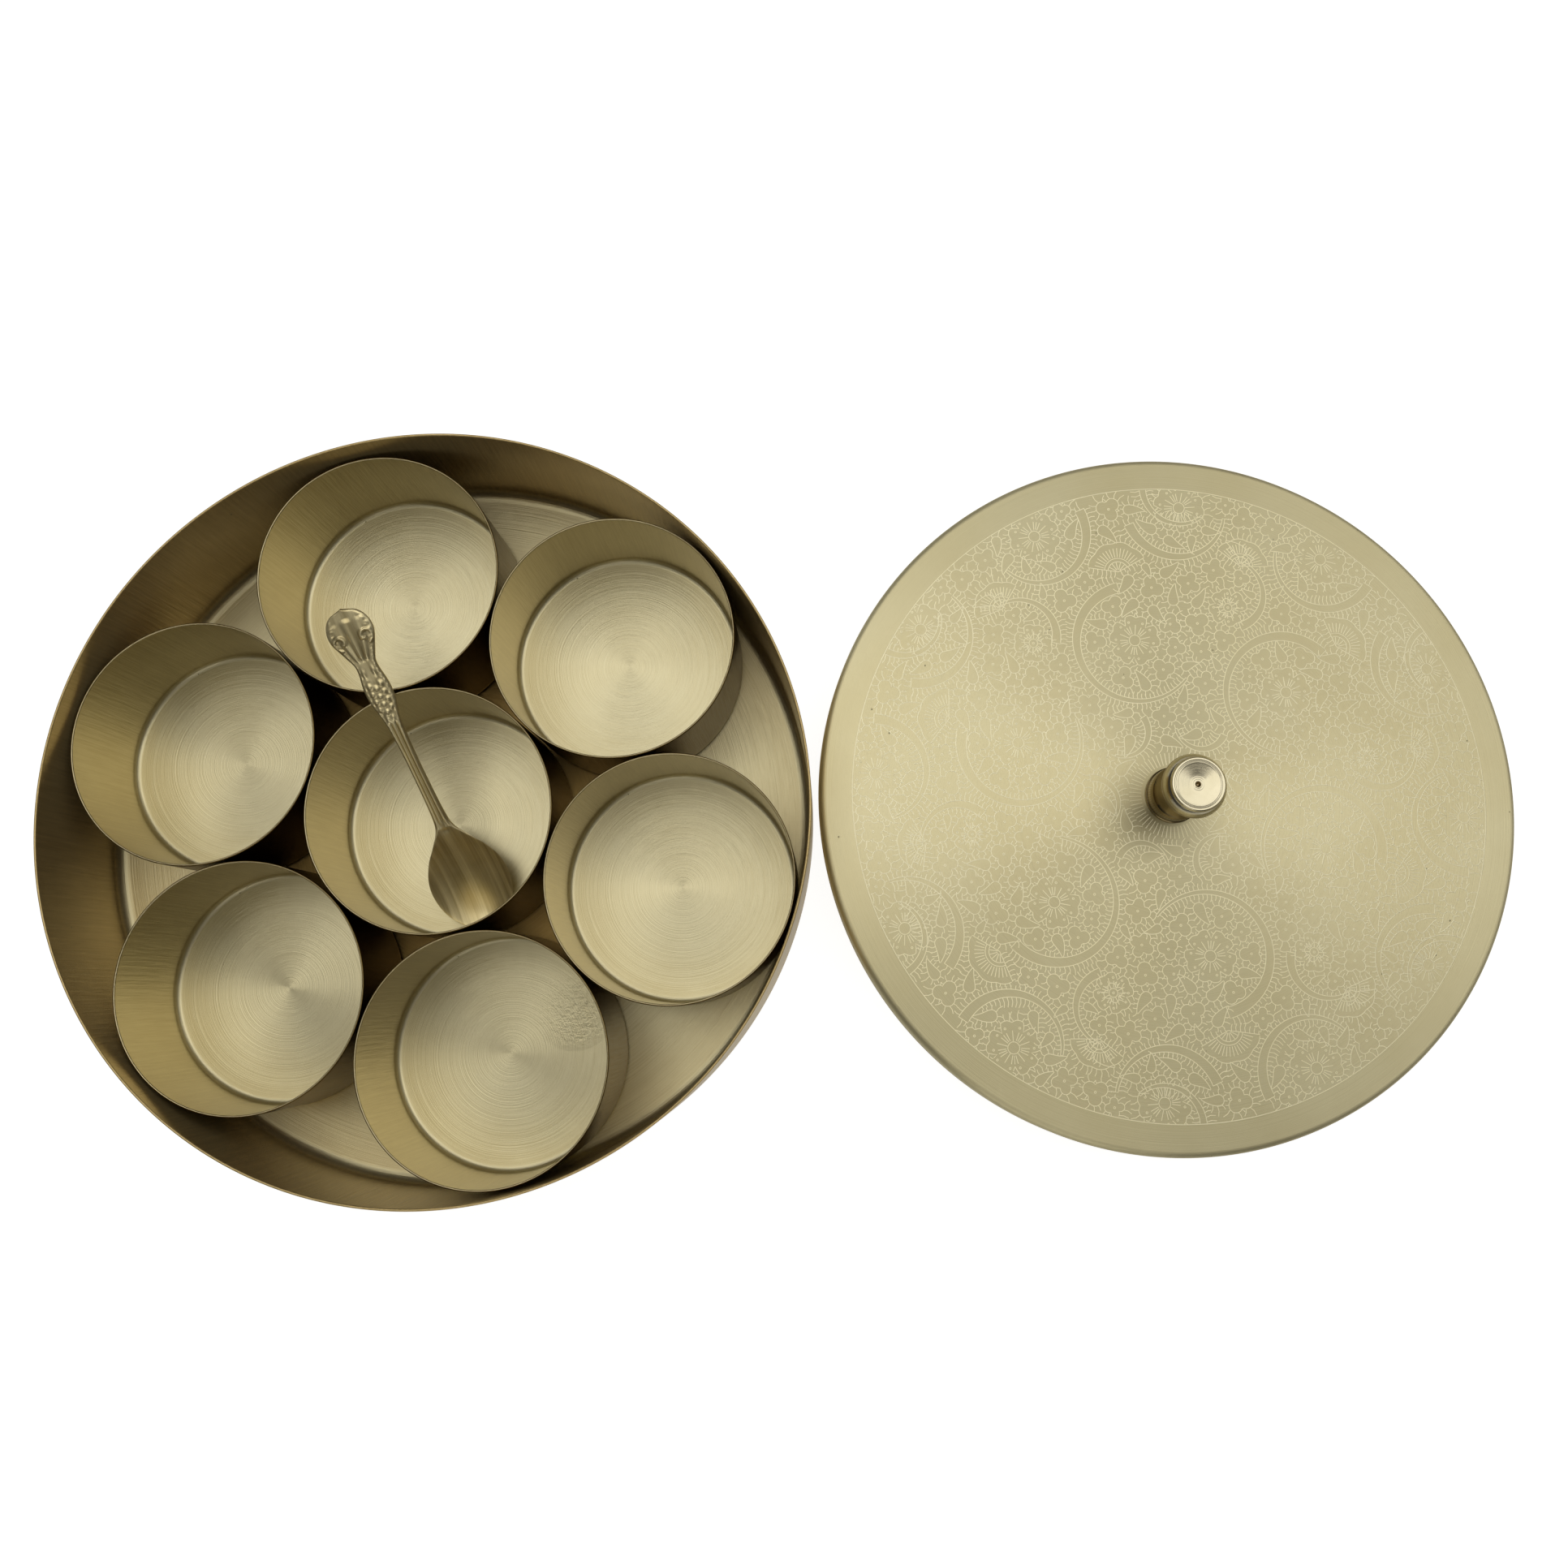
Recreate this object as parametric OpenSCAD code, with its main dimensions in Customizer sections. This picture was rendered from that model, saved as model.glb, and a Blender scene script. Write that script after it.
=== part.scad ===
// Masala dabba: a round brass spice box with seven loose cups, a spoon and a drop-in lid.
// Frame: millimetres, origin at the centre of the box's resting face, +Z up, +X towards the lid.
// The box stands open with its cups and spoon in place. The lid lies beside it on the table,
// propped on its far edge and on the end of the stud that holds its knob.

/* [Box] */
// Outside diameter of the round box
box_d = 236; // [200:1:260]
// Height of the box, from the table to its rim
box_h = 50; // [46:1:70]
// Thickness of the brass sheet of the box and the lid
sheet = 0.8; // [0.6:0.1:1.2]
// Inside radius between the box's wall and floor
box_corner_r = 3.5; // [2:0.5:5]

/* [Cups] */
// Height of a cup
cup_h = 41; // [36:1:43]
// Thickness of a cup's brass sheet
cup_sheet = 0.7; // [0.5:0.1:1]
// Outside radius between a cup's wall and floor
cup_corner_r = 2.5; // [1.5:0.5:4]
// Free gap between the cups
cup_gap = 0.6; // [0.4:0.1:1.5]
// Free gap between the ring cups and the box's wall
wall_gap = 1.1; // [0.8:0.1:2]
// Angle of the first ring cup from +X
ring_turn = 42.5; // [40:0.5:46]

/* [Lid] */
// Outside diameter of the lid
lid_d = 226; // [180:1:230]
// Height of the lid's turned-down edge
lid_h = 8; // [5:0.5:10]
// Outside radius between the lid's plate and its turned-down edge
lid_corner_r = 2; // [1.5:0.5:3]
// Clear distance between the box and the lid beside it
lid_aside = 1.9; // [1:0.1:40]
// Tilt of the lid as it lies on its stud and far edge
lid_tilt = 4.5; // [3.5:0.1:6]

/* [Knob] */
// Height of the knob above the lid
knob_h = 25; // [22:0.5:32]
// Diameter of the knob's foot
foot_d = 18; // [16:0.5:20]
// Diameter of the knob's waist
waist_d = 12.8; // [10:0.2:14]
// Largest diameter of the knob's head
head_d = 20; // [18:0.5:24]
// Diameter of the flat top of the knob
top_d = 16.6; // [13:0.2:17]

/* [Stud, washer and nut] */
// Diameter of the threaded stud
stud_d = 6; // [5:1:6]
// Length of the stud
stud_l = 25; // [23:0.5:26]
// Outside diameter of the washer
washer_d = 14; // [12:0.5:18]
// Thickness of the washer
washer_t = 1; // [0.8:0.1:1.6]
// Width of the nut across its flats
nut_flats = 10; // [8:0.5:10]
// Height of the nut
nut_h = 5; // [4:0.5:5]

/* [Spoon] */
// Length of the spoon
spoon_l = 114; // [106:1:118]
// Width of the spoon's bowl
bowl_w = 25.8; // [20:0.2:28]
// Depth of the spoon's bowl
bowl_depth = 5.2; // [4:0.2:6]
// Thickness of the spoon's stem
stem_t = 2.6; // [2:0.2:3]
// Angle of the spoon's handle from +X, seen from above
spoon_turn = 109.3; // [106:0.1:112]
// Lean of the spoon from the table
spoon_lean = 29.3; // [29:0.1:30]

/* [Hidden] */
$fn = 96;

box_r = box_d / 2;
box_inner_r = box_r - sheet;
// three cup radii and the gaps fill the box from its axis to its wall
cup_r = (box_inner_r - wall_gap - cup_gap) / 3;
ring_r = 2 * cup_r + cup_gap;

lid_r = lid_d / 2;
lid_x = box_r + lid_aside + lid_r * cos(lid_tilt);
stud_r = stud_d / 2;
stud_hole_gap = 0.1;
stud_bore_depth = 12.5;
// the stud reaches below the lid's edge until its end and the lid's far edge touch one plane
stud_drop = (lid_r - stud_r) * tan(lid_tilt);

foot_h = 1.8;
body_r = foot_d / 2 - 0.4;
head_bead_r = 2.2;
head_z = knob_h - 4.3;
cove_r = 8.8;
cove_z = 12.5;
dish_inner_r = 2.7;
dish_outer_r = 6.5;
dish_depth = 0.5;
pip_r = 0.6;
pip_depth = 1.5;

// the spoon lies in an upright plane that passes a little beside the cup's axis
spoon_offset = -1.5;
spoon_gap = 0.3;
bowl_l = 38;
bowl_t = 0.9;
handle_end_t = 1.9;
bowl_crown = 0.1;
stem_crown = 0.5;
spoon_stations = 56;
spoon_strips = 6;
// half width of the spoon, as a share of the bowl's half width, along its length from the tip
spoon_outline = [[0, 0], [1.5, 0.36], [5, 0.67], [10, 0.9], [16, 1], [22, 0.96], [28, 0.76],
    [33, 0.48], [37, 0.265], [41, 0.18], [55, 0.147], [68, 0.155], [77, 0.2], [83, 0.3],
    [88, 0.318], [95.5, 0.255], [100, 0.38], [105, 0.535], [109, 0.52], [112.5, 0.33], [114, 0]];
outline_l = 114;

brass = [0.76, 0.71, 0.55];
polished_brass = [0.86, 0.80, 0.60];
steel = [0.72, 0.72, 0.70];

// half section of a dish with a round lower corner
module dish_section(r, h, corner_r) {
    square([r - corner_r, h]);
    translate([0, corner_r]) square([r, h - corner_r]);
    translate([r - corner_r, corner_r]) circle(corner_r);
}

// a dish pressed from sheet: flat floor, round corner, upright wall
module pressed_dish(r, h, corner_r, t) {
    rotate_extrude($fn = 180) difference() {
        intersection() {
            dish_section(r, h, corner_r);
            square([r, h]);
        }
        translate([0, t]) intersection() {
            dish_section(r - t, h, corner_r - t);
            square([r, h]);
        }
    }
}

module box() {
    color(brass) pressed_dish(box_r, box_h, box_corner_r + sheet, sheet);
}

module cup() {
    color(brass) pressed_dish(cup_r, cup_h, cup_corner_r, cup_sheet);
}

module centre_cup() {
    translate([0, 0, sheet]) cup();
}

module ring_cup(place) {
    rotate(ring_turn + place * 60) translate([ring_r, 0, sheet]) cup();
}

// carries a piece from the lid's own frame, whose origin is the centre of the plane of
// its edge, to where the lid lies on the table
module on_lid() {
    translate([lid_x, 0, lid_r * sin(lid_tilt)]) rotate([0, lid_tilt, 0]) children();
}

module lid() {
    color(brass) on_lid() difference() {
        translate([0, 0, lid_h]) mirror([0, 0, 1]) pressed_dish(lid_r, lid_h, lid_corner_r, sheet);
        translate([0, 0, lid_h - 2 * sheet]) cylinder(r = stud_r + stud_hole_gap, h = 3 * sheet);
    }
}

// half section of the turned knob, standing on its foot
module knob_section() {
    difference() {
        union() {
            square([foot_d / 2, foot_h]);
            square([body_r, head_z]);
            translate([0, head_z - head_bead_r]) square([head_d / 2 - head_bead_r, 2 * head_bead_r]);
            translate([head_d / 2 - head_bead_r, head_z]) circle(head_bead_r);
            translate([0, head_z]) square([top_d / 2, knob_h - head_z]);
        }
        translate([waist_d / 2 + cove_r, cove_z]) circle(cove_r);
        translate([dish_inner_r, knob_h - dish_depth]) square([dish_outer_r - dish_inner_r, 1]);
        translate([0, knob_h - pip_depth]) square([pip_r, 2 * pip_depth]);
        square([stud_r + stud_hole_gap, stud_bore_depth]);
    }
}

module knob() {
    color(polished_brass) on_lid() translate([0, 0, lid_h]) rotate_extrude() knob_section();
}

module knob_stud() {
    color(steel) on_lid() translate([0, 0, -stud_drop]) cylinder(r = stud_r, h = stud_l);
}

module knob_washer() {
    color(steel) on_lid() translate([0, 0, lid_h - sheet - washer_t]) difference() {
        cylinder(d = washer_d, h = washer_t);
        translate([0, 0, -1]) cylinder(r = stud_r + stud_hole_gap, h = washer_t + 2);
    }
}

module knob_nut() {
    color(steel) on_lid() translate([0, 0, lid_h - sheet - washer_t - nut_h]) difference() {
        cylinder(d = nut_flats / cos(30), h = nut_h, $fn = 6);
        translate([0, 0, -1]) cylinder(r = stud_r + stud_hole_gap, h = nut_h + 2);
    }
}

// slope of a list of [x, y] points at place i, from its two neighbours
function slope_at(p, i) = (p[min(i + 1, len(p) - 1)][1] - p[max(i - 1, 0)][1])
    / (p[min(i + 1, len(p) - 1)][0] - p[max(i - 1, 0)][0]);

// smooth curve through a list of [x, y] points: a cubic between each two neighbours
function smooth_at(p, x, i = 0) = i < len(p) - 2 && x > p[i + 1][0] ? smooth_at(p, x, i + 1) :
    let (w = p[i + 1][0] - p[i][0], t = (x - p[i][0]) / w)
    (1 + 2 * t) * (1 - t) * (1 - t) * p[i][1] + t * (1 - t) * (1 - t) * w * slope_at(p, i)
    + t * t * (3 - 2 * t) * p[i + 1][1] - t * t * (1 - t) * w * slope_at(p, i + 1);

// half width, hollow depth and thickness of the spoon at a distance from its tip
function half_width(x) = max(0.5, bowl_w / 2 * smooth_at(spoon_outline, x * outline_l / spoon_l));
function hollow(x) = x >= bowl_l ? 0 : bowl_depth * pow(sin(180 * pow(x / bowl_l, 0.8)), 0.9);
function thickness(x) = let (t = max(0, min(1, (x - bowl_l + 8) / 12)), e = max(0, x - bowl_l) / spoon_l)
    bowl_t + (stem_t - bowl_t) * t * t * (3 - 2 * t) - (stem_t - handle_end_t) * e * e * 2;

// height by which the top face of the stem and handle is rounded
function crown(x) = let (t = max(0, min(1, (x - bowl_l + 4) / 10)))
    bowl_crown + (stem_crown - bowl_crown) * t * t * (3 - 2 * t);

// points across the spoon at a distance from its tip: top face, then underside
function across(x) = let (w = half_width(x), d = hollow(x), h = thickness(x), c = crown(x)) concat(
    [for (k = [0:spoon_strips]) let (s = 2 * k / spoon_strips - 1) [x, w * s, (c - d) * (1 - s * s)]],
    [for (k = [spoon_strips:-1:0]) let (s = 2 * k / spoon_strips - 1)
        [x, w * s, -d * (1 - s * s) - h * (1 - 0.3 * s * s)]]);

// rows stand closer together at the two round ends
function station(i) = spoon_l * (0.5 - 0.5 * cos(180 * i / spoon_stations));

module spoon_blank() {
    n = 2 * (spoon_strips + 1);
    rings = [for (i = [0:spoon_stations]) across(station(i))];
    points = [for (ring = rings, p = ring) p];
    walls = [for (i = [0:spoon_stations - 1], k = [0:n - 1]) let (m = (k + 1) % n)
        each [[i * n + k, i * n + m, (i + 1) * n + m], [i * n + k, (i + 1) * n + m, (i + 1) * n + k]]];
    ends = [[for (k = [n - 1:-1:0]) k], [for (k = [0:n - 1]) spoon_stations * n + k]];
    polyhedron(points, concat(walls, ends), convexity = 6);
}

// the tip stands just clear of the cup's floor, and the stem just clear of its rim
spoon_drop = 1.35;
tip_z = sheet + cup_sheet + spoon_gap + spoon_drop;
rim_z = sheet + cup_h + spoon_gap;
contact_x = (rim_z - tip_z + stem_t * cos(spoon_lean)) / sin(spoon_lean);
tip_u = cup_r - contact_x * cos(spoon_lean) - stem_t * sin(spoon_lean);

module spoon() {
    color(brass) rotate(spoon_turn) translate([tip_u, -spoon_offset, tip_z])
        rotate([0, -spoon_lean, 0]) spoon_blank();
}

box();
lid();
knob();
knob_stud();
knob_washer();
knob_nut();
centre_cup();
ring_cup(0);  // ring_cup_1
ring_cup(1);  // ring_cup_2
ring_cup(2);  // ring_cup_3
ring_cup(3);  // ring_cup_4
ring_cup(4);  // ring_cup_5
ring_cup(5);  // ring_cup_6
spoon();
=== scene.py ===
import math

import bpy
import numpy as np
from mathutils import Matrix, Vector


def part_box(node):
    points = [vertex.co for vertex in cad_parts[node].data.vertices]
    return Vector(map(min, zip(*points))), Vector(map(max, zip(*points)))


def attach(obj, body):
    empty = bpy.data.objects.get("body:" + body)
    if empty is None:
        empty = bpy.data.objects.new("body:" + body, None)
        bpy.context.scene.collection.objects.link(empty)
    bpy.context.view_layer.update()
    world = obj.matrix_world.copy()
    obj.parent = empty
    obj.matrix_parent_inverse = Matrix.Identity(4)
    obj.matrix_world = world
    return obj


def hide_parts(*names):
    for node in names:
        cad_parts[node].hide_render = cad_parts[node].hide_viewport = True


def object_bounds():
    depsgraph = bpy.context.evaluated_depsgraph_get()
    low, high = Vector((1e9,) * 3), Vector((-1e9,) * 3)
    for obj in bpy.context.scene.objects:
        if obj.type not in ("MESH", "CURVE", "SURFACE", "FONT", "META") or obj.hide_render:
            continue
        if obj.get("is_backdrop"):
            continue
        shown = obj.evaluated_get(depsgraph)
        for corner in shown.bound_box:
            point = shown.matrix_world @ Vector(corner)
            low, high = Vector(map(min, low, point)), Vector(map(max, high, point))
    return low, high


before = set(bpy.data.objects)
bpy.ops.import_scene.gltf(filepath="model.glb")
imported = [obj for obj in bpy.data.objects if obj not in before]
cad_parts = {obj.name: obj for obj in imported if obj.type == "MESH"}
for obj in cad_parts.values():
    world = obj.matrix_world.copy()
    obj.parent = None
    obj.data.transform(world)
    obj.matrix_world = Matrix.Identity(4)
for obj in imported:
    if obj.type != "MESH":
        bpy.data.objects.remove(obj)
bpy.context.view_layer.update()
scene = bpy.context.scene


# The studio: a camera held almost straight above the table, a large soft light overhead that
# leans towards the back, a small one low in front, a dim room around, and a plain white table.
def new_material(name):
    """An empty material, and a function that adds a node to it. A keyword names a setting of the
    node or one of its sockets, with _ for a space; i0, i1 and so on are sockets by number. A value
    that is another node's output is linked, and any other is set."""
    material = bpy.data.materials.new(name)
    material.use_nodes = True
    material.node_tree.nodes.clear()
    tree = material.node_tree

    def add(kind, **values):
        node = tree.nodes.new("ShaderNode" + kind)
        for key, value in values.items():
            if key in node.bl_rna.properties:
                setattr(node, key, value)
                continue
            by_number = key[0] == "i" and key[1:].isdigit()
            socket = node.inputs[int(key[1:]) if by_number else key.replace("_", " ")]
            if isinstance(value, bpy.types.NodeSocket):
                tree.links.new(value, socket)
            else:
                socket.default_value = value
        return node

    return material, add


camera_place = (0.12105, -0.0578, 0.45145)
camera_lean = (8.552, 1.837, -1.656)
camera_data = bpy.data.cameras.new("camera")
camera_data.lens = 31.185
camera_data.sensor_width = 36
camera = bpy.data.objects.new("camera", camera_data)
camera.location = camera_place
camera.rotation_euler = [math.radians(a) for a in camera_lean]
scene.collection.objects.link(camera)
scene.camera = camera
scene.view_settings.view_transform = "Standard"


def soft_light(name, place, aim, width, depth, power):
    """A rectangular lamp at place that looks at aim."""
    data = bpy.data.lights.new(name, "AREA")
    data.shape = "RECTANGLE"
    data.size = width
    data.size_y = depth
    data.energy = power
    lamp = bpy.data.objects.new(name, data)
    back = np.array(place) - np.array(aim)
    lean = math.atan2(math.hypot(back[0], back[1]), back[2])
    lamp.rotation_euler = (lean, 0, math.atan2(back[0], -back[1]))
    lamp.location = place
    scene.collection.objects.link(lamp)


soft_light("overhead_light", place=(0.55, 0.46, 1.6), aim=(0.55, 0, 0), width=3.0, depth=1.3, power=15.0)
soft_light("front_light", place=(0.05, -1.3, 0.75), aim=(0.1, 0, 0), width=1.0, depth=0.6, power=2.6)

world = bpy.data.worlds.new("room")
world.use_nodes = True
world_nodes, world_links = world.node_tree.nodes, world.node_tree.links
sky = world_nodes["Background"]
sky.inputs["Color"].default_value = (1.0, 0.98, 0.94, 1)
direction = world_nodes.new("ShaderNodeTexCoord")
upward = world_nodes.new("ShaderNodeSeparateXYZ")
ceiling = world_nodes.new("ShaderNodeMapRange")
for socket, value in (("From Min", 0.25), ("From Max", 0.95), ("To Min", 0.045), ("To Max", 0.24)):
    ceiling.inputs[socket].default_value = value
world_links.new(direction.outputs["Generated"], upward.inputs[0])
world_links.new(upward.outputs["Z"], ceiling.inputs["Value"])
world_links.new(ceiling.outputs[0], sky.inputs["Strength"])
bright = world_nodes.new("ShaderNodeBackground")
bright.inputs["Color"].default_value = (1, 1, 1, 1)
bright.inputs["Strength"].default_value = 1.0
ray = world_nodes.new("ShaderNodeLightPath")
seen = world_nodes.new("ShaderNodeMixShader")
world_links.new(ray.outputs["Is Camera Ray"], seen.inputs[0])
world_links.new(sky.outputs[0], seen.inputs[1])
world_links.new(bright.outputs[0], seen.inputs[2])
world_links.new(seen.outputs[0], world_nodes["World Output"].inputs["Surface"])
scene.world = world

table_half = 8.0
table_gap = 0.0003
table_mesh = bpy.data.meshes.new("table")
corner_signs = ((-1, -1), (1, -1), (1, 1), (-1, 1))
table_corners = [(x * table_half, y * table_half, -table_gap) for x, y in corner_signs]
table_mesh.from_pydata(table_corners, [], [(0, 1, 2, 3)])
table = bpy.data.objects.new("table", table_mesh)
scene.collection.objects.link(table)
table_paint, add = new_material("white_table")
paint = add("BsdfDiffuse", Color=(0.42, 0.42, 0.40, 1))
ray = add("LightPath")
level = add("MapRange", Value=ray.outputs["Is Camera Ray"], To_Min=0.35, To_Max=0.88)
glow = add("Emission", Color=(1, 1, 1, 1), Strength=level.outputs[0])
seen = add("AddShader", i0=paint.outputs[0], i1=glow.outputs[0])
add("OutputMaterial", Surface=seen.outputs[0])
table_mesh.materials.append(table_paint)
table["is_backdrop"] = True


# The box: a round tray pressed from 0.8 mm brass sheet, with a flat floor, a small radius
# where the wall turns up, and a smoothed rim. Its floor is turned and its wall is rubbed down.
MM = 0.001


def rounded(corners, step, arc_steps=8):
    """An outline through corners (r, z, radius): each corner becomes an arc that touches both of
    its sides, and the straight stretches are cut at the step, with a point close to each arc."""
    places = [np.array(c[:2], float) for c in corners]
    points = []
    start = places[0]
    for i in range(1, len(corners)):
        here, radius = places[i], corners[i][2]
        along = (here - places[i - 1]) / np.linalg.norm(here - places[i - 1])
        if radius > 0:
            onward = (places[i + 1] - here) / np.linalg.norm(places[i + 1] - here)
            half_turn = math.acos(np.clip(along @ onward, -1, 1)) / 2
            end = here - along * radius * math.tan(half_turn)
        else:
            end = here
        length = np.linalg.norm(end - start)
        hold = min(0.12, length / 4)
        inner = np.arange(step, length - step * 0.5, step) if length > step else np.zeros(0)
        cuts = np.unique(np.concatenate([[0, hold], inner, [length - hold]]))
        points.append(start + np.outer(cuts, along))
        if radius > 0:
            side = np.array([-along[1], along[0]])
            turn = math.copysign(1, along[0] * onward[1] - along[1] * onward[0])
            centre = end + side * turn * radius
            a = turn * np.linspace(0, 2 * half_turn, arc_steps + 1)
            from_centre = np.outer(np.sin(a), along) - np.outer(np.cos(a), side)
            points.append(centre + radius * turn * from_centre)
            start = points[-1][-1]
            points[-1] = points[-1][:-1]
        else:
            start = here
    points.append(start[None])
    return np.concatenate(points)


def mesh_piece(name, points, faces, charts, place, smooth=True):
    """A mesh object from metre points, a list of face arrays with one row per face, and for each
    named UV chart a list of arrays with one (u, v) per face corner. Place is baked into it."""
    mesh = bpy.data.meshes.new(name)
    mesh.vertices.add(len(points))
    mesh.vertices.foreach_set("co", np.asarray(points, np.float32).ravel())
    sizes = np.concatenate([np.full(len(f), f.shape[1]) for f in faces])
    corners = np.concatenate([f.ravel() for f in faces])
    mesh.loops.add(len(corners))
    mesh.loops.foreach_set("vertex_index", corners.astype(np.int32))
    mesh.polygons.add(len(sizes))
    mesh.polygons.foreach_set("loop_start", (np.cumsum(sizes) - sizes).astype(np.int32))
    mesh.polygons.foreach_set("loop_total", sizes.astype(np.int32))
    mesh.update(calc_edges=True)
    mesh.polygons.foreach_set("use_smooth", np.full(len(sizes), smooth))
    for chart, corner_uvs in charts.items():
        layer = mesh.uv_layers.new(name=chart)
        uvs = np.concatenate([c.reshape(-1, 2) for c in corner_uvs]).astype(np.float32)
        layer.data.foreach_set("uv", uvs.ravel())
    mesh.transform(place)
    mesh.update()
    piece = bpy.data.objects.new(name, mesh)
    scene.collection.objects.link(piece)
    return piece


def turned(name, outline, place, turns=256, closed=False, wall_above=None):
    """Surface of revolution: outline point (r, z), in mm, at angle a is (r cos a, r sin a, z). The
    metal is on the left of the outline, so faces look outwards; an end on the axis is one point,
    and a closed outline meets itself. Chart turned: u is the distance along the outline, in
    tenths of a metre, and v the share of a turn. Chart grain: its u runs across the grain, which
    is round the axis up to the height wall_above and upright over it."""
    r, z = outline.T
    distance = np.concatenate([[0], np.cumsum(np.hypot(np.diff(r), np.diff(z)))]) / 100
    a = np.arange(turns) * 2 * math.pi / turns
    poles = [i for i in (0, len(r) - 1) if r[i] < 1e-6]
    rows = [i for i in range(len(r)) if i not in poles]
    ring = np.stack([np.outer(r[rows], np.cos(a)), np.outer(r[rows], np.sin(a)),
                     np.repeat(z[rows][:, None], turns, 1)], -1).reshape(-1, 3)
    points = np.concatenate([ring] + [np.array([[0, 0, z[i]]]) for i in poles]) * MM
    row = np.arange(len(rows) if closed else len(rows) - 1)[:, None]
    k = np.arange(turns)[None, :]
    upper = (row + 1) % len(rows)
    nxt = (k + 1) % turns
    quads = np.stack([row * turns + k, row * turns + nxt, upper * turns + nxt, upper * turns + k], -1)
    d = distance[rows]
    d_up = np.append(d[1:], d[-1] + 0.01)[row] if closed else d[row + 1]
    u = np.stack([d[row] + 0 * k, d[row] + 0 * k, d_up + 0 * k, d_up + 0 * k], -1)
    v = np.stack([k + 0 * row, k + 1 + 0 * row, k + 1 + 0 * row, k + 0 * row], -1) / turns
    faces = [quads.reshape(-1, 4)]
    chart = [np.stack([u, v], -1).reshape(-1, 4, 2)]
    for j, i in enumerate(poles):
        edge = (0 if i == 0 else len(rows) - 1) * turns
        order = [nxt[0], k[0]] if i == 0 else [k[0], nxt[0]]
        tips = np.full(turns, len(ring) + j)
        faces.append(np.stack([tips, edge + order[0], edge + order[1]], -1))
        last = d[0] if i == 0 else d[-1]
        share = [(k[0] + 1) / turns, k[0] / turns] if i == 0 else [k[0] / turns, (k[0] + 1) / turns]
        chart.append(np.stack([np.stack([np.full(turns, distance[i]), (k[0] + 0.5) / turns], -1),
                               np.stack([np.full(turns, last), share[0]], -1),
                               np.stack([np.full(turns, last), share[1]], -1)], 1))
    grain = [c.copy() for c in chart]
    if wall_above is not None:
        on_wall = (np.minimum(z[rows][row], z[rows][upper]) > wall_above) & (k >= 0)
        grain[0][on_wall.ravel()] = grain[0][on_wall.ravel()][:, :, ::-1]
    return mesh_piece(name, points, faces, {"turned": chart, "grain": grain}, place)


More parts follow.
